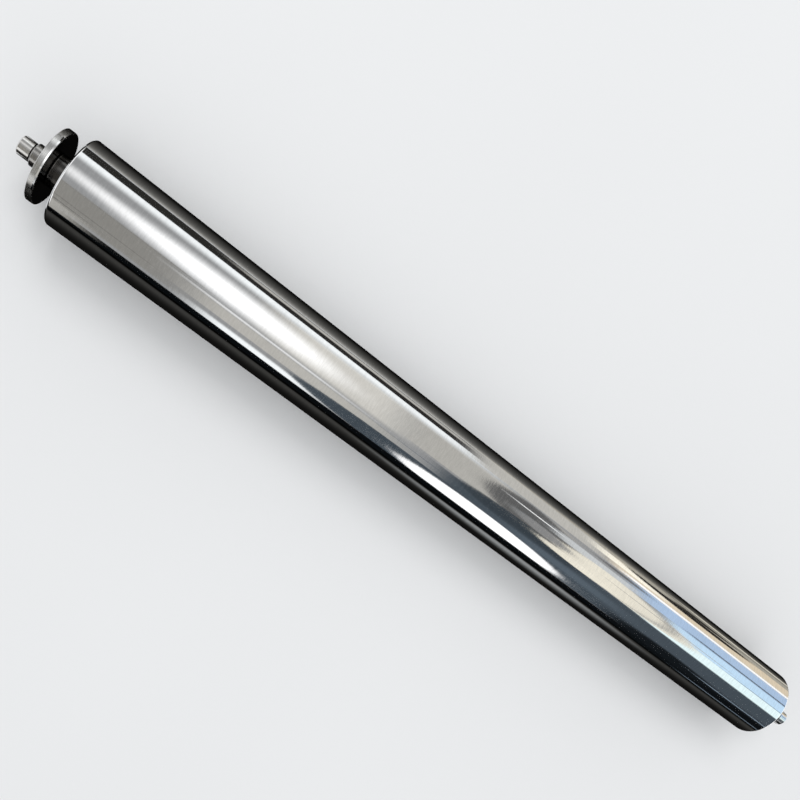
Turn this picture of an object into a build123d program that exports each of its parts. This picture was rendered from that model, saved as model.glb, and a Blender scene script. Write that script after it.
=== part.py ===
"""Dampening roller of a small sheet press: a hard-chromed steel tube with a journal shrunk into each end.

The left journal carries a thin guide disc. The groove between the disc and the tube takes the
follower that moves the turning roller from side to side, and the two end pins turn in the press frame.

Millimetres, +Z up. The roller lies along X, with the guide disc at the -X end. The origin is on the
roller's axis, midway between the ends of the two pins.
"""
import os
from math import radians, tan

from build123d import *

# Tube
body_diameter = 48.0
body_length = 533.0
body_edge_chamfer = 0.8
tube_wall_at_seat = 6.0
bore_step = 1.0
seat_depth = 30.0

# Seat of a journal in the tube, a shrink fit drawn at its nominal size
shrink_clearance = 0.0
plug_end_gap = 1.0
plug_end_chamfer = 1.5
joint_edge_break = 0.25

# Groove and guide disc of the left journal
groove_width = 8.8
neck_diameter = 18.0
neck_corner_radius = 0.8
disc_diameter = 40.0
disc_thickness = 3.7
disc_chamfer_width = 0.6
disc_chamfer_height = 0.8
disc_outer_edge_break = 0.2

# Shoulders behind the pins, as high above the pin as a bearing's inner ring needs
shoulder_height = 1.0
left_shoulder_length = 7.2
right_shoulder_length = 18.7
shoulder_chamfer = 0.4

# End pins, each with a grinding relief at its root and a centre hole in its end
pin_diameter = 10.0
pin_length = 7.1
pin_end_chamfer = 0.6
relief_width = 0.9
relief_depth = 0.3
centre_mouth_diameter = 5.0
centre_pilot_diameter = 2.0
centre_pilot_depth = 2.5
centre_cone_angle = 60.0
drill_point_angle = 120.0

# Places along X, worked out from the sizes above
left_reach = groove_width + disc_thickness + left_shoulder_length + pin_length
right_reach = right_shoulder_length + pin_length
overall_length = left_reach + body_length + right_reach
left_pin_end = -overall_length / 2
body_left = left_pin_end + left_reach
body_right = body_left + body_length

# Radii worked out from the sizes above
shoulder_radius = pin_diameter / 2 + shoulder_height
seat_radius = body_diameter / 2 - tube_wall_at_seat
plug_radius = seat_radius - shrink_clearance
bore_radius = seat_radius - bore_step


def turned(outline, round_corners=(), corner_radius=0.0):
    """Revolve an outline of (distance along X, radius) points, with some of its corners rounded."""
    section = make_face(Polyline(*outline, close=True))
    for corner in round_corners:
        vertex = section.vertices().sort_by_distance((*corner, 0))[0]
        section = fillet(vertex, corner_radius)
    return revolve(section, Axis.X)


def centre_hole(pin_end):
    """The 60 degree centre that the roller is ground between, cut from a pin's end at X = 0 towards +X."""
    mouth = centre_mouth_diameter / 2
    pilot = centre_pilot_diameter / 2
    cone_end = (mouth - pilot) / tan(radians(centre_cone_angle / 2))
    pilot_end = cone_end + centre_pilot_depth
    point_end = pilot_end + pilot / tan(radians(drill_point_angle / 2))
    cutter = turned([(0, 0), (0, mouth), (cone_end, pilot), (pilot_end, pilot), (point_end, 0)])
    return Pos(pin_end, 0, 0) * cutter


def pin_outline(shoulder_face):
    """Outline from the axis at the pin's end, over the pin and its relief, to the root of the shoulder face.

    The pin points to -X, and shoulder_face is where the bearing stops.
    """
    end = shoulder_face - pin_length
    radius = pin_diameter / 2
    relief_start = shoulder_face - relief_width
    return [
        (end, 0),
        (end, radius - pin_end_chamfer),
        (end + pin_end_chamfer, radius),
        (relief_start, radius),
        (relief_start + relief_depth, radius - relief_depth),
        (shoulder_face, radius - relief_depth),
    ]


def shoulder_outline(shoulder_face, shoulder_end):
    """Outline over the shoulder, from its chamfered outer edge to where it meets the next larger face."""
    return [
        (shoulder_face, shoulder_radius - shoulder_chamfer),
        (shoulder_face + shoulder_chamfer, shoulder_radius),
        (shoulder_end, shoulder_radius),
    ]


def plug_outline(tube_face):
    """Outline over the plug that sits in the tube, from the tube's end face inwards and back to the axis."""
    inner_end = tube_face + seat_depth - plug_end_gap
    return [
        (tube_face, plug_radius - joint_edge_break),
        (tube_face + joint_edge_break, plug_radius),
        (inner_end - plug_end_chamfer, plug_radius),
        (inner_end, plug_radius - plug_end_chamfer),
        (inner_end, 0),
    ]


def roller_tube():
    """The tube: a ground and chromed outside, and a bore with a turned seat at each end."""
    outside = body_diameter / 2
    left_end = [
        (body_left + seat_depth, bore_radius),
        (body_left + seat_depth, seat_radius),
        (body_left + joint_edge_break, seat_radius),
        (body_left, seat_radius + joint_edge_break),
        (body_left, outside - body_edge_chamfer),
        (body_left + body_edge_chamfer, outside),
    ]
    right_end = [(body_left + body_right - x, radius) for x, radius in reversed(left_end)]
    return turned(left_end + right_end)


def left_journal():
    """Plug, groove, guide disc, shoulder and pin, turned in one piece."""
    neck = neck_diameter / 2
    disc = disc_diameter / 2
    disc_inner = body_left - groove_width
    disc_outer = disc_inner - disc_thickness
    shoulder_face = disc_outer - left_shoulder_length
    groove_corners = [(disc_inner, neck), (body_left, neck)]
    disc_outline = [
        (disc_outer, disc - disc_outer_edge_break),
        (disc_outer + disc_outer_edge_break, disc),
        (disc_inner - disc_chamfer_width, disc),
        (disc_inner, disc - disc_chamfer_height),
    ]
    outline = (
        pin_outline(shoulder_face)
        + shoulder_outline(shoulder_face, disc_outer)
        + disc_outline
        + groove_corners
        + plug_outline(body_left)
    )
    return turned(outline, groove_corners, neck_corner_radius) - centre_hole(left_pin_end)


def right_journal():
    """Plug, shoulder and pin, turned in one piece. It is drawn pointing to -X and then turned round."""
    shoulder_face = body_left - right_shoulder_length
    outline = (
        pin_outline(shoulder_face)
        + shoulder_outline(shoulder_face, body_left)
        + plug_outline(body_left)
    )
    drilled = turned(outline) - centre_hole(shoulder_face - pin_length)
    return mirror(drilled, about=Plane.YZ.offset((body_left + body_right) / 2))


pieces = {
    "roller_tube": roller_tube,
    "left_journal": left_journal,
    "right_journal": right_journal,
}

os.makedirs("parts", exist_ok=True)
for name, make_piece in pieces.items():
    export_step(make_piece(), f"parts/{name}.step")
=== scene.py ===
"""Looks of the dampening roller: mirror chrome on the tube and ground steel on the two journals.

The roller lies along X with its guide disc at -X, in metres. The three turned pieces are made again
here as fine lathe meshes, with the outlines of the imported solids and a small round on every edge. They
differ from the solids in two places: the tube's face runs into its chamfers in a wider round, and the
disc's rim is worn down on the side of the groove, with a smaller chamfer there.
"""
from math import atan2, ceil, copysign, cos, hypot, pi, radians, sin, tan

import bpy
from mathutils import Matrix, Vector


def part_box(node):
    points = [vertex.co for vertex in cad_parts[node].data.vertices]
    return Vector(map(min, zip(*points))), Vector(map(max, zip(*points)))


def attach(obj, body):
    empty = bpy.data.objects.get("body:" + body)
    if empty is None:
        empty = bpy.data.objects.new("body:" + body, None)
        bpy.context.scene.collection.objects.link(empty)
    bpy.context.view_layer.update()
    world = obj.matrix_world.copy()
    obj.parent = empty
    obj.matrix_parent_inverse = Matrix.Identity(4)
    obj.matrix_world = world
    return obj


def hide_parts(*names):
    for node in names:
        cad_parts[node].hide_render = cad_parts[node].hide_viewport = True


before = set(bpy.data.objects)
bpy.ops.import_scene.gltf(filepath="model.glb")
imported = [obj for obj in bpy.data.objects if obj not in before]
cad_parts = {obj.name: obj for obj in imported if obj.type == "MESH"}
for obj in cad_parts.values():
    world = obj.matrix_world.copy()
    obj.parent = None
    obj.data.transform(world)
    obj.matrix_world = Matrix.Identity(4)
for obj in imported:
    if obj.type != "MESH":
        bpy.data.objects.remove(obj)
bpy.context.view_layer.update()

mm = 0.001

# Tube
body_radius = 24.0 * mm
body_edge_chamfer = 0.8 * mm
tube_edge_round = 1.1 * mm
bore_radius = 17.0 * mm
seat_radius = 18.0 * mm
seat_depth = 30.0 * mm

# Plugs of the journals in the tube's seats
plug_end_gap = 1.0 * mm
plug_end_chamfer = 1.5 * mm
joint_edge_break = 0.25 * mm

# Groove and guide disc of the left journal
groove_width = 8.8 * mm
neck_radius = 9.0 * mm
neck_corner_radius = 0.8 * mm
disc_radius = 20.0 * mm
disc_thickness = 3.7 * mm
disc_outer_edge_break = 0.2 * mm

# Groove side of the disc's rim. Both depths are measured from the disc's full radius
worn_band_width = 1.0 * mm
worn_band_depth = 0.13 * mm
worn_band_round = 0.6 * mm
disc_chamfer_width = 0.25 * mm
disc_chamfer_depth = 0.65 * mm
disc_edge_round = 0.12 * mm

# Shoulders and end pins
shoulder_radius = 6.0 * mm
shoulder_chamfer = 0.4 * mm
pin_radius = 5.0 * mm
pin_length = 7.1 * mm
pin_end_chamfer = 0.6 * mm
relief_width = 0.9 * mm
relief_depth = 0.3 * mm
centre_mouth_radius = 2.5 * mm
centre_pilot_radius = 1.0 * mm
centre_pilot_depth = 2.5 * mm
centre_half_angle = radians(30)
drill_point_half_angle = radians(60)

# Places along the roller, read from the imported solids
tube_low, tube_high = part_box("roller_tube")
body_left, body_right = tube_low.x, tube_high.x
left_pin_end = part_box("left_journal")[0].x
right_pin_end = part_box("right_journal")[1].x
disc_inner = body_left - groove_width
disc_outer = disc_inner - disc_thickness

# Fineness of the lathe meshes
segments = 192
edge_round = 0.06 * mm
fine_arc_steps = 3
wide_arc_steps = 8
wide_arc = 0.5 * mm
most_of_a_run = 0.45
longest_step = 12.0 * mm
on_axis = 0.001 * mm


def corner_arc(before, here, after, wanted_radius):
    """The points of the arc that rounds the corner here. Short runs beside it make the arc smaller."""
    coming, going = here - before, after - here
    room = most_of_a_run * min(coming.length, going.length)
    coming.normalize()
    going.normalize()
    turn = atan2(coming.cross(going), coming.dot(going))
    reach = min(wanted_radius * tan(abs(turn) / 2), room)
    radius = reach / tan(abs(turn) / 2)
    bulge = -1 if turn > 0 else 1
    normal = Vector((-coming.y, coming.x))
    centre = here - coming * reach - normal * radius * bulge
    steps = wide_arc_steps if radius > wide_arc else fine_arc_steps
    points = []
    for step in range(steps + 1):
        leaning = Matrix.Rotation(turn * step / steps, 2) @ normal
        spot = centre + leaning * radius * bulge
        points.append((spot.x, spot.y, leaning.x, leaning.y))
    return points


def rounded(outline, closed):
    """Turn an outline of (x, radius) corners into (x, radius, normal x, normal radius) points.

    Each corner becomes a small arc, or a larger one where the corner gives a radius of its own. The
    outline runs with the metal on its right, so the normals point to its left.
    """
    points = []
    last = len(outline) - 1
    for index, (x, r, *own) in enumerate(outline):
        here = Vector((x, r))
        before = Vector(outline[index - 1][:2])
        after = Vector(outline[(index + 1) % len(outline)][:2])
        if closed or 0 < index < last:
            points += corner_arc(before, here, after, own[0] if own else edge_round)
        else:
            run = (after - here if index == 0 else here - before).normalized()
            points.append((x, r, -run.y, run.x))
    return points


def with_rings(points, closed):
    """Add points along the long straight runs, so that no ring of faces is much longer than a step."""
    denser = []
    followers = points[1:] + points[:1] if closed else points[1:]
    for (x0, r0, nx, nr), (x1, r1, _, _) in zip(points, followers):
        count = max(1, ceil(hypot(x1 - x0, r1 - r0) / longest_step))
        for step in range(count):
            share = step / count
            denser.append((x0 + (x1 - x0) * share, r0 + (r1 - r0) * share, nx, nr))
    if not closed:
        denser.append(points[-1])
    return denser


def lathe_rings(points):
    """Turn each point round the X axis. This gives the vertices, their normals, and for each point the
    ring of its vertices' numbers. A point on the axis has one vertex."""
    vertices, normals, rings = [], [], []
    for x, r, nx, nr in points:
        first = len(vertices)
        if r < on_axis:
            rings.append([first] * segments)
            vertices.append((x, 0.0, 0.0))
            normals.append((copysign(1.0, nx), 0.0, 0.0))
            continue
        rings.append(list(range(first, first + segments)))
        for step in range(segments):
            angle = 2 * pi * step / segments
            vertices.append((x, r * cos(angle), r * sin(angle)))
            normals.append((nx, nr * cos(angle), nr * sin(angle)))
    return vertices, normals, rings


def faces_between(ring, following):
    """The four-sided faces from one ring to the next, or triangles where one of them is on the axis."""
    faces = []
    for step in range(segments):
        turn = (step + 1) % segments
        corners = (ring[step], ring[turn], following[turn], following[step])
        faces.append(list(dict.fromkeys(corners)))
    return faces


def turned_piece(name, outline, closed, finishes):
    """A lathe mesh round the X axis. finishes are (material, test) pairs: the first test that is true
    for a face's (x, radius) gives its material."""
    points = with_rings(rounded(outline, closed), closed)
    vertices, normals, rings = lathe_rings(points)
    faces, slots = [], []
    for index in range(len(rings) if closed else len(rings) - 1):
        after = (index + 1) % len(rings)
        x, r = ((points[index][axis] + points[after][axis]) / 2 for axis in (0, 1))
        slot = next(place for place, (_, test) in enumerate(finishes) if test(x, r))
        faces += faces_between(rings[index], rings[after])
        slots += [slot] * segments
    mesh = bpy.data.meshes.new(name)
    mesh.from_pydata(vertices, [], faces)
    for material, _ in finishes:
        mesh.materials.append(material)
    mesh.polygons.foreach_set("material_index", slots)
    mesh.polygons.foreach_set("use_smooth", [True] * len(faces))
    mesh.normals_split_custom_set_from_vertices(normals)
    piece = bpy.data.objects.new(name, mesh)
    bpy.context.scene.collection.objects.link(piece)
    return piece


def pin_outline(shoulder_face):
    """From the centre hole's drill point, out over the pin and its relief, to the shoulder face."""
    end = shoulder_face - pin_length
    cone_end = end + (centre_mouth_radius - centre_pilot_radius) / tan(centre_half_angle)
    pilot_end = cone_end + centre_pilot_depth
    relief_start = shoulder_face - relief_width
    return [
        (pilot_end + centre_pilot_radius / tan(drill_point_half_angle), 0),
        (pilot_end, centre_pilot_radius),
        (cone_end, centre_pilot_radius),
        (end, centre_mouth_radius),
        (end, pin_radius - pin_end_chamfer),
        (end + pin_end_chamfer, pin_radius),
        (relief_start, pin_radius),
        (relief_start + relief_depth, pin_radius - relief_depth),
        (shoulder_face, pin_radius - relief_depth),
    ]


def shoulder_outline(shoulder_face, shoulder_end):
    """From the shoulder's chamfered edge to the face that it ends at."""
    return [
        (shoulder_face, shoulder_radius - shoulder_chamfer),
        (shoulder_face + shoulder_chamfer, shoulder_radius),
        (shoulder_end, shoulder_radius),
    ]


def plug_outline(tube_face):
    """From the tube's end face over the plug in the tube, and back to the axis at its inner end."""
    inner_end = tube_face + seat_depth - plug_end_gap
    return [
        (tube_face, seat_radius - joint_edge_break),
        (tube_face + joint_edge_break, seat_radius),
        (inner_end - plug_end_chamfer, seat_radius),
        (inner_end, seat_radius - plug_end_chamfer),
        (inner_end, 0),
    ]


def turned_round(outline):
    """The same outline at the roller's other end."""
    return [(body_left + body_right - x, *rest) for x, *rest in reversed(outline)]


def tube_outline():
    left_end = [
        (body_left + seat_depth, bore_radius),
        (body_left + seat_depth, seat_radius),
        (body_left + joint_edge_break, seat_radius),
        (body_left, seat_radius + joint_edge_break),
        (body_left, body_radius - body_edge_chamfer),
        (body_left + body_edge_chamfer, body_radius, tube_edge_round),
    ]
    return left_end + turned_round(left_end)


def left_journal_outline():
    shoulder_face = left_pin_end + pin_length
    disc_and_neck = [
        (disc_outer, disc_radius - disc_outer_edge_break),
        (disc_outer + disc_outer_edge_break, disc_radius),
        (disc_inner - worn_band_width, disc_radius, worn_band_round),
        (disc_inner - disc_chamfer_width, disc_radius - worn_band_depth, disc_edge_round),
        (disc_inner, disc_radius - disc_chamfer_depth, disc_edge_round),
        (disc_inner, neck_radius, neck_corner_radius),
        (body_left, neck_radius, neck_corner_radius),
    ]
    return (
        pin_outline(shoulder_face)
        + shoulder_outline(shoulder_face, disc_outer)
        + disc_and_neck
        + plug_outline(body_left)
    )


def right_journal_outline():
    """Drawn at the left end, pointing to -X, and then turned round."""
    shoulder_face = body_left + body_right - right_pin_end + pin_length
    outline = (
        pin_outline(shoulder_face)
        + shoulder_outline(shoulder_face, body_left)
        + plug_outline(body_left)
    )
    return turned_round(outline)


def add_node(tree, kind, inputs=None, **settings):
    """A shader node with its settings and inputs. An input is a value, or a socket to link from."""
    node = tree.nodes.new(kind)
    for key, value in settings.items():
        setattr(node, key, value)
    for key, value in (inputs or {}).items():
        if isinstance(value, bpy.types.NodeSocket):
            tree.links.new(value, node.inputs[key])
        else:
            node.inputs[key].default_value = value
    return node


def calculated(tree, operation, *values):
    inputs = dict(enumerate(values))
    return add_node(tree, "ShaderNodeMath", inputs, operation=operation).outputs[0]


def noise(tree, vector, scale, detail, roughness=0.5):
    inputs = {"Vector": vector, "Scale": scale, "Detail": detail, "Roughness": roughness}
    return add_node(tree, "ShaderNodeTexNoise", inputs).outputs["Fac"]


def remapped(tree, value, from_min, from_max, to_min, to_max, smooth=False):
    inputs = {
        "Value": value, "From Min": from_min, "From Max": from_max, "To Min": to_min, "To Max": to_max,
    }
    interpolation = "SMOOTHSTEP" if smooth else "LINEAR"
    node = add_node(tree, "ShaderNodeMapRange", inputs, interpolation_type=interpolation)
    return node.outputs["Result"]


def colour_between(tree, value, first, second):
    ramp = add_node(tree, "ShaderNodeValToRGB", {"Fac": value})
    ramp.color_ramp.elements[0].color = (*first, 1)
    ramp.color_ramp.elements[1].color = (*second, 1)
    return ramp.outputs["Color"]


def new_material(name):
    material = bpy.data.materials.new(name)
    material.use_nodes = True
    material.node_tree.nodes.clear()
    return material, material.node_tree


# Patterns in the metals. Scales are in cells of noise for each metre
noise_middle = (0.3, 0.7)
round_axis_scale = 220.0
cloud_scale = 22.0
cloud_share = 0.4
speckle_share = 0.6
wave_scale = 16.0
smoothest, roughest = 0.8, 1.25
quarter_turn = 0.25


def spread(tree, pattern, lowest, highest):
    """Spread a noise, which keeps near its middle, over the range from lowest to highest."""
    return remapped(tree, pattern, *noise_middle, lowest, highest)


def tool_mark_coordinates(tree, pitch):
    """Coordinates that change once a pitch across the tool's marks, and slowly along them.

    The marks run round the axis on cylinders and on faces alike.
    """
    place = add_node(tree, "ShaderNodeTexCoord").outputs["Object"]
    parts = add_node(tree, "ShaderNodeSeparateXYZ", {"Vector": place}).outputs
    flat = add_node(tree, "ShaderNodeCombineXYZ", {"Y": parts["Y"], "Z": parts["Z"]}).outputs[0]
    radius = add_node(tree, "ShaderNodeVectorMath", {0: flat}, operation="LENGTH").outputs["Value"]
    across = calculated(tree, "DIVIDE", calculated(tree, "ADD", parts["X"], radius), pitch)
    side = calculated(tree, "MULTIPLY", parts["Y"], round_axis_scale)
    up = calculated(tree, "MULTIPLY", parts["Z"], round_axis_scale)
    return add_node(tree, "ShaderNodeCombineXYZ", {"X": across, "Y": side, "Z": up}).outputs[0]


def turned_metal(name, light, dark, roughness, pitch, mark_depth, wave_depth, anisotropy):
    """Bright metal with tool marks round the axis, faint cloudiness and a slight wave in its mirror.

    It drifts between the colours light and dark. Lengths are in metres.
    """
    material, tree = new_material(name)
    place = add_node(tree, "ShaderNodeTexCoord").outputs["Object"]
    marks = noise(tree, tool_mark_coordinates(tree, pitch), scale=1.0, detail=3.0, roughness=0.6)
    cloud = spread(tree, noise(tree, place, cloud_scale, detail=5.0), 0.0, cloud_share)
    speckle = spread(tree, marks, 0.0, speckle_share)
    swell = noise(tree, place, wave_scale, detail=1.0)
    wave = add_node(tree, "ShaderNodeBump", {"Height": swell, "Distance": wave_depth})
    relief = {"Height": marks, "Distance": mark_depth, "Normal": wave.outputs[0]}
    tangent = add_node(tree, "ShaderNodeTangent", direction_type="RADIAL", axis="X")
    shader = add_node(
        tree,
        "ShaderNodeBsdfPrincipled",
        {
            "Base Color": colour_between(tree, calculated(tree, "ADD", cloud, speckle), dark, light),
            "Metallic": 1.0,
            "Roughness": spread(tree, marks, roughness * smoothest, roughness * roughest),
            "Anisotropic": anisotropy,
            "Anisotropic Rotation": quarter_turn,
            "Normal": add_node(tree, "ShaderNodeBump", relief).outputs[0],
            "Tangent": tangent.outputs[0],
        },
    )
    add_node(tree, "ShaderNodeOutputMaterial", {"Surface": shader.outputs[0]})
    return material


def hard_chrome():
    """The tube's outside and its chamfers."""
    return turned_metal(
        "hard_chrome", light=(0.95, 0.955, 0.96), dark=(0.78, 0.785, 0.79), roughness=0.07,
        pitch=1.0 * mm, mark_depth=0.006 * mm, wave_depth=0.004 * mm, anisotropy=0.6,
    )


def ground_steel():
    """The pins."""
    return turned_metal(
        "ground_steel", light=(0.86, 0.85, 0.83), dark=(0.74, 0.73, 0.71), roughness=0.18,
        pitch=0.3 * mm, mark_depth=0.001 * mm, wave_depth=0.003 * mm, anisotropy=0.5,
    )


def turned_steel():
    """What is turned and not finished further: end faces, centre holes, bore and plugs."""
    return turned_metal(
        "turned_steel", light=(0.62, 0.61, 0.60), dark=(0.50, 0.49, 0.48), roughness=0.34,
        pitch=0.25 * mm, mark_depth=0.004 * mm, wave_depth=0.004 * mm, anisotropy=0.6,
    )


def dull_steel():
    """The shoulders, which are ground less finely than the pins."""
    return turned_metal(
        "dull_steel", light=(0.54, 0.53, 0.51), dark=(0.38, 0.37, 0.36), roughness=0.18,
        pitch=0.3 * mm, mark_depth=0.002 * mm, wave_depth=0.003 * mm, anisotropy=0.5,
    )


def painted_shade_steel():
    """The bare steel of the guide groove and the reliefs, its colour darkened as painted shade for these
    recesses.
    """
    return turned_metal(
        "painted_shade_steel", light=(0.13, 0.125, 0.12), dark=(0.07, 0.068, 0.065), roughness=0.13,
        pitch=0.3 * mm, mark_depth=0.002 * mm, wave_depth=0.003 * mm, anisotropy=0.4,
    )


def satin_steel():
    """The disc's rim."""
    return turned_metal(
        "satin_steel", light=(0.78, 0.78, 0.77), dark=(0.66, 0.66, 0.65), roughness=0.24,
        pitch=0.35 * mm, mark_depth=0.002 * mm, wave_depth=0.004 * mm, anisotropy=0.4,
    )


def polished_steel():
    """The band on the disc's rim that the follower has worn bright."""
    return turned_metal(
        "polished_steel", light=(0.98, 0.98, 0.98), dark=(0.94, 0.94, 0.94), roughness=0.12,
        pitch=0.35 * mm, mark_depth=0.001 * mm, wave_depth=0.002 * mm, anisotropy=0.3,
    )


def elsewhere(x, r):
    return True


def on_the_chrome(x, r):
    return r > body_radius - body_edge_chamfer - edge_round


def on_the_worn_band(x, r):
    beside_the_groove = disc_inner - worn_band_width < x < disc_inner
    return beside_the_groove and r > disc_radius - worn_band_depth - edge_round


def on_the_disc_rim(x, r):
    return disc_outer < x < disc_inner and r > disc_radius - disc_chamfer_depth - edge_round


def in_the_groove(x, r):
    return disc_inner - edge_round < x < body_left + edge_round


def in_a_relief(x, r):
    left_face = left_pin_end + pin_length
    right_face = right_pin_end - pin_length
    beside_left = left_face - relief_width < x < left_face + edge_round
    beside_right = right_face - edge_round < x < right_face + relief_width
    return (beside_left or beside_right) and r < shoulder_radius - shoulder_chamfer


def on_a_pin(x, r):
    return pin_radius - pin_end_chamfer - edge_round < r < pin_radius + edge_round


def on_a_shoulder(x, r):
    return abs(r - shoulder_radius) < edge_round


def make_roller():
    chrome, ground, turned, satin = hard_chrome(), ground_steel(), turned_steel(), satin_steel()
    # The steel of the guide groove, the tube's end face beside it and the reliefs is darkened as painted
    # shade.
    dull, recess_shade, polished = dull_steel(), painted_shade_steel(), polished_steel()
    plain = [(recess_shade, in_a_relief), (ground, on_a_pin), (dull, on_a_shoulder), (turned, elsewhere)]
    tube = [(chrome, on_the_chrome), (recess_shade, in_the_groove), (turned, elsewhere)]
    rim = [(polished, on_the_worn_band), (satin, on_the_disc_rim)]
    disc = rim + [(recess_shade, in_the_groove)] + plain
    for name, node, slot, outline, closed, finishes in (
        ("chromed_tube", "roller_tube", "chromed_steel", tube_outline(), True, tube),
        ("disc_journal", "left_journal", "ground_steel", left_journal_outline(), False, disc),
        ("plain_journal", "right_journal", "ground_steel", right_journal_outline(), False, plain),
    ):
        piece = turned_piece(name, outline, closed, finishes)
        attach(piece, "root")
        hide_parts(node)


def glow(tree, colour, strength):
    inputs = {"Color": (*colour, 1), "Strength": strength}
    return add_node(tree, "ShaderNodeEmission", inputs).outputs[0]


def finish_glow(material, tree, surface):
    """End a glowing material, which isn't a lamp: it only shows in the mirror."""
    add_node(tree, "ShaderNodeOutputMaterial", {"Surface": surface})
    material.cycles.emission_sampling = "NONE"
    return material


def staged(name, mesh, material):
    """A thing of the studio, which isn't part of the roller."""
    mesh.materials.append(material)
    thing = bpy.data.objects.new(name, mesh)
    bpy.context.scene.collection.objects.link(thing)
    return thing


def seen_in_mirrors_only(thing):
    for kind in ("camera", "diffuse", "transmission", "volume_scatter", "shadow"):
        setattr(thing, "visible_" + kind, False)


def strip_mesh(name, place, steps=1):
    """A strip of faces. place gives the point at a share across it and a share along its steps."""
    shares = [(across, step / steps) for step in range(steps + 1) for across in (0, 1)]
    faces = [(corner, corner + 1, corner + 3, corner + 2) for corner in range(0, 2 * steps, 2)]
    mesh = bpy.data.meshes.new(name)
    mesh.from_pydata([place(*share) for share in shares], [], faces)
    layer = mesh.uv_layers.new()
    for loop in mesh.loops:
        layer.data[loop.index].uv = shares[loop.vertex_index]
    return mesh


def flat_mesh(name, xs, ys, height, slant=0.0):
    """A level patch from xs and ys. It leans over by slant in X for each metre in Y."""
    def place(across, along):
        reach = (ys[1] - ys[0]) * along
        return (xs[0] + (xs[1] - xs[0]) * across + slant * reach, ys[0] + reach, height)

    return strip_mesh(name, place)


# Floor
floor_height = -body_radius
floor_half_size = 12.0
floor_dark = (0.70, 0.705, 0.71)
floor_light = (0.74, 0.745, 0.75)
floor_drift_scale = 2.5
floor_grain_scale = 900.0
floor_grain_height = 0.02 * mm
floor_smoothest, floor_roughest = 0.75, 0.9


def floor_material():
    material, tree = new_material("pale_floor")
    place = add_node(tree, "ShaderNodeTexCoord").outputs["Object"]
    grain = noise(tree, place, floor_grain_scale, detail=3.0)
    drift = noise(tree, place, floor_drift_scale, detail=2.0)
    relief = {"Height": grain, "Distance": floor_grain_height}
    shader = add_node(
        tree,
        "ShaderNodeBsdfPrincipled",
        {
            "Base Color": colour_between(tree, drift, floor_dark, floor_light),
            "Roughness": spread(tree, grain, floor_smoothest, floor_roughest),
            "Specular IOR Level": 0.0,
            "Normal": add_node(tree, "ShaderNodeBump", relief).outputs[0],
        },
    )
    add_node(tree, "ShaderNodeOutputMaterial", {"Surface": shader.outputs[0]})
    return material


def make_floor():
    reach = (-floor_half_size, floor_half_size)
    staged("floor", flat_mesh("floor", reach, reach, floor_height), floor_material())


# Bench top, a glowing sheet that only the mirror sees, and how it glows with the distance in Y from the
# roller's axis: painted shade next to the roller, painted sheen further out
bench_height = floor_height + 0.2 * mm
bench_reach = 2.0
bench_left_end, bench_right_end = -0.30, 0.32
bench_end_gap = 0.04
bench_colour = (1.0, 0.98, 0.92)
bench_far_rise = (0.05, 0.60)
bench_far_curve = 0.8
bench_far_glow = 0.36
bench_near_rise = (-0.04, -0.14)
bench_near_glow = (0.006, 0.045)
bench_near_fall = (-0.18, -0.32)
bench_near_rest = 0.02


def bench_material():
    """The glow of the dark bench top that the mirror sees, a painted reflection. It is darkest next to
    the roller as painted shade, and grows paler away from the roller as painted sheen: on the far side,
    and on the near side only for a short way."""
    material, tree = new_material("bench_shade_and_sheen")
    place = add_node(tree, "ShaderNodeTexCoord").outputs["Object"]
    away = add_node(tree, "ShaderNodeSeparateXYZ", {"Vector": place}).outputs["Y"]
    far_rise = remapped(tree, away, *bench_far_rise, 0.0, 1.0)
    far_share = calculated(tree, "POWER", far_rise, bench_far_curve)
    far_part = calculated(tree, "MULTIPLY", far_share, bench_far_glow)
    near_rise = remapped(tree, away, *bench_near_rise, *bench_near_glow, smooth=True)
    near_fall = remapped(tree, away, *bench_near_fall, 1.0, bench_near_rest, smooth=True)
    near_part = calculated(tree, "MULTIPLY", near_rise, near_fall)
    strength = calculated(tree, "ADD", far_part, near_part)
    return finish_glow(material, tree, glow(tree, bench_colour, strength))


def make_bench():
    """The dark bench top, a sheet with painted shade and sheen that only the mirror sees, lies under and
    beside the roller, but not straight out from its ends.
    """
    material = bench_material()
    far_side, near_side = (bench_end_gap, bench_reach), (-bench_reach, -bench_end_gap)
    for name, xs, ys in (
        ("bench", (bench_left_end, bench_right_end), (-bench_reach, bench_reach)),
        ("bench_far_left", (-bench_reach, bench_left_end), far_side),
        ("bench_near_left", (-bench_reach, bench_left_end), near_side),
        ("bench_far_right", (bench_right_end, bench_reach), far_side),
        ("bench_near_right", (bench_right_end, bench_reach), near_side),
    ):
        seen_in_mirrors_only(staged(name, flat_mesh(name, xs, ys, bench_height), material))


# Room
room_colour = (0.99, 1.0, 1.01)
room_light = 0.92
seen_backdrop = 0.68
mirrored_room = 0.33


def make_room():
    """Even pale light all round. The camera sees it a little dimmer, as the backdrop, and the mirror
    sees it dimmer still, so that the cards stand out in it."""
    world = bpy.data.worlds.new("studio")
    world.use_nodes = True
    tree = world.node_tree
    tree.nodes.clear()
    path = add_node(tree, "ShaderNodeLightPath").outputs
    straight = remapped(tree, path["Is Camera Ray"], 0.0, 1.0, room_light, seen_backdrop)
    dimming = remapped(tree, path["Is Glossy Ray"], 0.0, 1.0, 1.0, mirrored_room / room_light)
    strength = calculated(tree, "MULTIPLY", straight, dimming)
    inputs = {"Color": (*room_colour, 1), "Strength": strength}
    background = add_node(tree, "ShaderNodeBackground", inputs)
    add_node(tree, "ShaderNodeOutputWorld", {"Surface": background.outputs[0]})
    bpy.context.scene.world = world


# Glowing cards, which only the mirror sees
card_radius = 1.0
card_spacing = 4.0 * mm
card_step = radians(3)
card_middle = (0.5, 0.5, 0.0)
bench_card_spacing = 0.2 * mm
sharp = (0.04, 0.04)
cards_hung = []
bench_cards_laid = []


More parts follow.
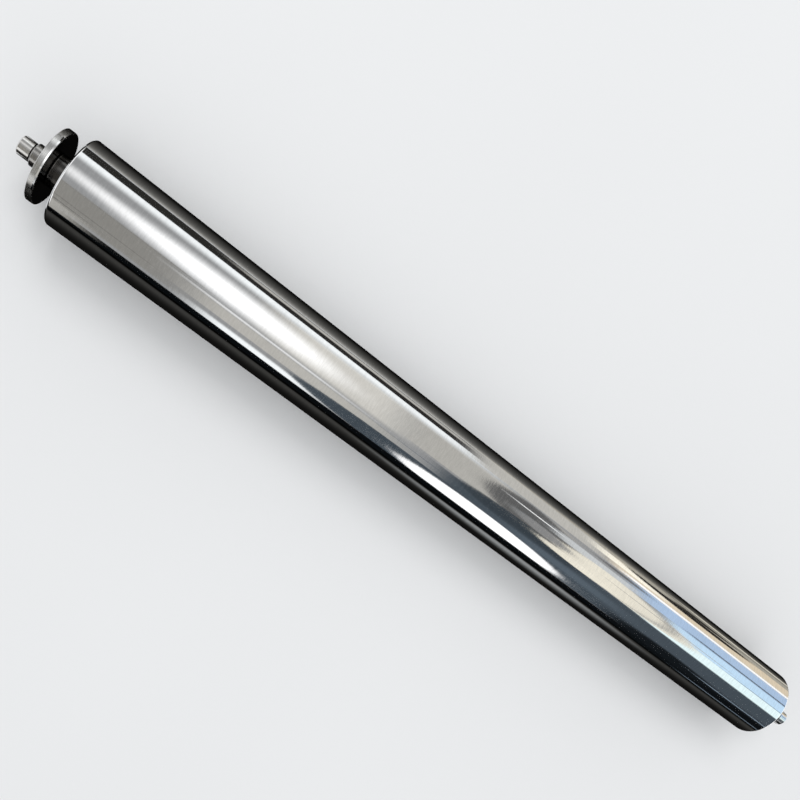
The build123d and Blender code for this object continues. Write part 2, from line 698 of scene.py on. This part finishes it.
def fading_glow(material, tree, colour, strength, shown):
    """End the material of a card, which glows where shown is 1 and is clear where it is 0."""
    light = glow(tree, colour, strength)
    clear = add_node(tree, "ShaderNodeBsdfTransparent").outputs[0]
    surface = add_node(tree, "ShaderNodeMixShader", {0: shown, 1: clear, 2: light}).outputs[0]
    return finish_glow(material, tree, surface)


def card_material(name, colour, strength, soft_ends, soft_sides):
    """The glow of a card with four straight edges. It fades over a share of the card at both of its
    ends, and over another share at each of its two sides."""
    material, tree = new_material(name)
    place = add_node(tree, "ShaderNodeTexCoord").outputs["UV"]
    parts = add_node(tree, "ShaderNodeSeparateXYZ", {"Vector": place}).outputs
    end_distance = calculated(tree, "PINGPONG", parts["X"], 0.5)
    ends = remapped(tree, end_distance, 0.0, soft_ends, 0.0, 1.0, smooth=True)
    first = remapped(tree, parts["Y"], 0.0, soft_sides[0], 0.0, 1.0, smooth=True)
    second = remapped(tree, parts["Y"], 1.0 - soft_sides[1], 1.0, 1.0, 0.0, smooth=True)
    shown = calculated(tree, "MULTIPLY", ends, calculated(tree, "MULTIPLY", first, second))
    return fading_glow(material, tree, colour, strength, shown)


def oval_material(name, colour, strength, soft_edge):
    """The glow of a card that shows as an oval. Its edge fades over a share of the card all round."""
    material, tree = new_material(name)
    place = add_node(tree, "ShaderNodeTexCoord").outputs["UV"]
    distance = add_node(
        tree, "ShaderNodeVectorMath", {0: place, 1: card_middle}, operation="DISTANCE"
    ).outputs["Value"]
    shown = remapped(tree, distance, 0.5 - soft_edge, 0.5, 1.0, 0.0, smooth=True)
    return fading_glow(material, tree, colour, strength, shown)


def hang(name, xs, angles, material):
    """Hang a curved card round the roller. Later cards hang in front of earlier ones.

    xs are its two ends along X. angles are its two sides, in degrees round the roller from straight
    above, and grow towards -Y.
    """
    radius = card_radius - card_spacing * len(cards_hung)
    cards_hung.append(name)
    start, end = (radians(angle) for angle in angles)

    def place(across, along):
        angle = start + (end - start) * along
        return (xs[0] + (xs[1] - xs[0]) * across, -radius * sin(angle), radius * cos(angle))

    mesh = strip_mesh(name, place, ceil((end - start) / card_step))
    seen_in_mirrors_only(staged(name, mesh, material))


def card(name, xs, angles, colour, strength, soft_ends=0.1, soft_sides=sharp):
    """Hang a card with straight edges. soft_ends is how far it fades at both ends, in metres, and
    soft_sides are the shares of its width that fade at its first and its second angle."""
    end_share = soft_ends / (xs[1] - xs[0])
    hang(name, xs, angles, card_material(name, colour, strength, end_share, soft_sides))


def oval_card(name, xs, angles, colour, strength, soft_edge):
    """Hang an oval card. soft_edge is the share of its width that fades all round."""
    hang(name, xs, angles, oval_material(name, colour, strength, soft_edge))


def lay(name, xs, ys, material, slant=0.0):
    """Lay a flat card on the bench top. Later cards lie above earlier ones."""
    bench_cards_laid.append(name)
    height = bench_height + bench_card_spacing * len(bench_cards_laid)
    seen_in_mirrors_only(staged(name, flat_mesh(name, xs, ys, height, slant), material))


def bench_card(name, xs, ys, colour, strength, soft_ends, soft_sides, slant=0.0):
    """Lay a patch of light or shade with straight edges. soft_ends is in metres."""
    end_share = soft_ends / (xs[1] - xs[0])
    lay(name, xs, ys, card_material(name, colour, strength, end_share, soft_sides), slant)


def oval_bench_card(name, xs, ys, colour, strength, soft_edge):
    lay(name, xs, ys, oval_material(name, colour, strength, soft_edge))


def upright_card(name, x, ys, zs, colour, strength, soft_edge):
    """A card that stands across the roller's axis beyond its end."""
    def place(across, along):
        return (x, ys[0] + (ys[1] - ys[0]) * across, zs[0] + (zs[1] - zs[0]) * along)

    material = card_material(name, colour, strength, soft_edge, (soft_edge, soft_edge))
    seen_in_mirrors_only(staged(name, strip_mesh(name, place), material))


# Colours of the cards, and the ends of those that run on out of sight
white = (1.0, 1.0, 1.0)
cool = (0.96, 0.99, 1.0)
warm = (1.0, 0.97, 0.90)
cream = (1.0, 0.94, 0.80)
tan_brown = (1.0, 0.85, 0.64)
blue = (0.56, 0.74, 1.0)
pale_blue = (0.62, 0.84, 1.05)
ice = (0.84, 1.0, 1.02)
slate = (0.75, 0.95, 1.15)
far_left, far_right = -4.0, 4.0


def hang_ceiling():
    card("pale_ceiling", (-0.2, 0.24), (-56, 26), warm, 0.68, 0.14, (0.1, 0.2))
    card("middle_ceiling", (0.12, 0.62), (-56, 12), warm, 0.5, 0.1, (0.1, 0.06))
    oval_card("core_tail", (-0.9, 0.0), (-34, 4), white, 0.9, 0.5)
    oval_card("ceiling_core", (-0.52, 0.12), (-47, 24), white, 1.7, 0.5)
    card("core_dark_line", (far_left, -0.2), (13, 17), warm, 0.2, 0.12, (0.4, 0.4))
    card("core_light_line", (-0.48, 0.2), (20, 28), white, 0.85, 0.3, (0.3, 0.5))
    card("ceiling_dark_line", (-0.1, 0.3), (27, 29), slate, 0.16, 0.1, (0.4, 0.4))
    oval_card("ceiling_fitting", (0.34, 0.58), (-56, 13), white, 0.12, 0.05)
    oval_card("fitting_glow", (0.4, 0.57), (-24, -2), cool, 0.32, 0.25)
    card("fitting_line", (0.38, 0.6), (-38, -35), white, 1.2, 0.06, (0.3, 0.3))


def hang_far_wall():
    card("far_wall", (far_left, 0.34), (-88, -67), warm, 0.025, 0.1, (0.03, 0.05))
    card("far_wall_glint", (-0.26, 0.34), (-88, -78), warm, 0.5, 0.1, (0.3, 0.3))
    card("far_strip", (far_left, 0.46), (-68, -44), cool, 1.05, 0.25, (0.06, 0.7))
    card("middle_far_wall", (0.26, 0.66), (-93, -57), warm, 0.55, 0.08)
    card("far_end_lamp", (far_left, -0.535), (-88, -58), white, 1.2, 0.03, (0.2, 0.2))


def hang_near_wall():
    card("near_panel", (-0.38, 0.24), (24, 53), warm, 0.52, 0.2, (0.2, 0.08))
    card("near_wall", (far_left, -0.2), (9, 72), warm, 0.28, 0.15, (0.15, 0.1))
    card("near_thin_line", (far_left, -0.28), (47, 49.5), warm, 0.19, 0.1, (0.4, 0.4))
    card("near_lower_line", (far_left, -0.4), (56.5, 60), warm, 0.13, 0.1, (0.4, 0.4))
    card("near_strip", (-0.28, 0.04), (59, 79), cool, 1.1, 0.1, (0.4, 0.1))
    card("slate_shade", (0.2, far_right), (13, 77), slate, 0.09, 0.08, (0.06, 0.04))
    oval_card("near_shade", (-0.07, 0.46), (41, 79), slate, 0.08, 0.04)
    oval_card("upper_shade", (0.27, 0.6), (0, 34), slate, 0.06, 0.08)
    card("shade_sheen", (0.3, 0.8), (24, 54), slate, 0.14, 0.2, (0.4, 0.4))
    oval_card("near_lamp", (0.15, 0.56), (45, 86), white, 1.3, 0.06)
    card("near_wall_gap", (far_left, far_right), (75.5, 92), slate, 0.004, 0.1, (0.08, 0.02))
    card("near_edge", (far_left, -0.39), (61, 86), warm, 0.42, 0.08, (0.15, 0.06))
    card("near_end_lamp", (far_left, -0.505), (52, 84), white, 1.2, 0.025, (0.2, 0.2))


def hang_right_wall():
    card("right_black_wall", (0.62, far_right), (50, 92), slate, 0.006, 0.1, (0.5, 0.01))
    oval_card("right_black_gap", (0.66, 1.02), (48, 84), slate, 0.01, 0.2)
    card("right_wall_line", (0.9, 1.25), (60, 64), slate, 0.34, 0.05, (0.4, 0.4))
    card("right_floor_line", (0.85, 1.2), (88, 91.3), slate, 0.25, 0.08, (0.3, 0.3))


def hang_windows():
    card("tan_wall", (0.58, far_right), (-92, -59), tan_brown, 0.78, 0.05)
    card("cream_lamp", (0.52, 0.78), (-91, -70), cream, 1.1, 0.08, (0.2, 0.2))
    oval_card("far_black_blade", (0.62, 1.0), (-97, -80.5), warm, 0.02, 0.08)
    card("cream_line", (0.6, far_right), (-68, -60.5), white, 1.15, 0.06, (0.2, 0.15))
    card("upper_window", (0.62, far_right), (-61, -31), blue, 0.82, 0.1)
    card("upper_window_shade", (0.54, 0.72), (-56, -48), white, 0.13, 0.06, (0.3, 0.3))
    card("lower_window", (0.74, far_right), (-32, -6), pale_blue, 1.0, 0.05)
    card("window_sill", (0.68, far_right), (-7, 18), ice, 1.1, 0.05, (0.04, 0.15))
    oval_card("beige_panel", (0.5, 0.84), (-24, 15), cream, 0.86, 0.03)
    oval_card("grey_arch", (0.5, 0.79), (-31, 13), warm, 0.42, 0.02)
    card("window_edge", (0.43, 0.68), (-45, -24), cool, 0.65, 0.05, (0.2, 0.2))
    oval_card("cream_panel", (0.46, 0.74), (-31, 13), cream, 0.9, 0.02)
    oval_card("cream_tongue", (0.42, 0.62), (-1, 16), cream, 0.95, 0.06)
    oval_card("fitting_tip", (0.36, 0.5), (-21, 0), white, 0.27, 0.1)
    card("panel_line", (0.55, 0.95), (-15, -13), warm, 0.4, 0.1, (0.4, 0.4))
    card("window_bar", (0.76, far_right), (-37.5, -33), slate, 0.14, 0.06, (0.25, 0.25))
    card("window_thin_bar", (0.88, far_right), (-9, -6.5), slate, 0.35, 0.06, (0.4, 0.4))


def hang_end_lights():
    """What the rounded edges at both ends mirror."""
    card("left_end_light", (far_left, -0.8), (-62, 74), white, 1.1, 0.05, (0.05, 0.05))
    upright_card("right_end_light", 1.3, (-0.8, 0.8), (-0.02, 0.45), white, 2.0, 0.05)


def lay_bench_cards():
    bench_card("bench_glow", (0.12, 1.2), (0.04, 1.9), cream, 0.42, 0.15, (0.1, 0.02))
    bench_card("bench_shade", (0.26, 0.38), (0.18, 1.5), cream, 0.04, 0.03, (0.02, 0.3), slant=0.68)
    bench_card("bench_glint", (0.2, 1.2), (0.09, 0.125), cream, 0.75, 0.06, (0.3, 0.3))
    oval_bench_card("bench_sheen", (-0.08, 0.27), (-0.24, -0.05), cool, 0.28, 0.4)


def make_cards():
    hang_ceiling()
    hang_far_wall()
    hang_near_wall()
    hang_right_wall()
    hang_windows()
    hang_end_lights()
    lay_bench_cards()


def look_at(eye, target, up):
    """The matrix that places a camera or lamp at eye, looking at target."""
    back = (eye - target).normalized()
    right = up.cross(back).normalized()
    facing = Matrix((right, back.cross(right), back)).transposed()
    return Matrix.Translation(eye) @ facing.to_4x4()


def make_lamp(name, eye, size, power):
    """A soft area light aimed at the roller's middle, which its mirror doesn't see."""
    light = bpy.data.lights.new(name, "AREA")
    light.size = size
    light.energy = power
    lamp = bpy.data.objects.new(name, light)
    bpy.context.scene.collection.objects.link(lamp)
    lamp.matrix_world = look_at(Vector(eye), Vector((0, 0, 0)), Vector((0, 1, 0)))
    lamp.visible_glossy = False


# The photograph's view: from above the left half of the roller, and then leant towards -Y
view_lean = radians(5)
eye_above = Vector((-0.1628, 0.0, 0.4448))
back_above = Vector((-0.3195, 0.1312, 0.9385))
up_above = Vector((-0.5373, 0.7907, -0.2935))
view_lens = 35.13
view_rise = 0.2
nearest_seen = 10 * mm


def make_camera():
    data = bpy.data.cameras.new("camera")
    data.lens = view_lens
    data.shift_y = view_rise
    data.clip_start = nearest_seen
    camera = bpy.data.objects.new("camera", data)
    bpy.context.scene.collection.objects.link(camera)
    above = look_at(eye_above, eye_above - back_above, up_above)
    camera.matrix_world = Matrix.Rotation(view_lean, 4, "X") @ above
    bpy.context.scene.camera = camera


make_roller()
make_floor()
make_bench()
make_room()
make_cards()
make_lamp("key_lamp", eye=(-0.5, 1.1, 1.6), size=0.9, power=10.0)
make_lamp("fill_lamp", eye=(0.6, -1.2, 1.5), size=1.4, power=4.0)
make_camera()
bpy.context.scene.view_settings.view_transform = "Standard"
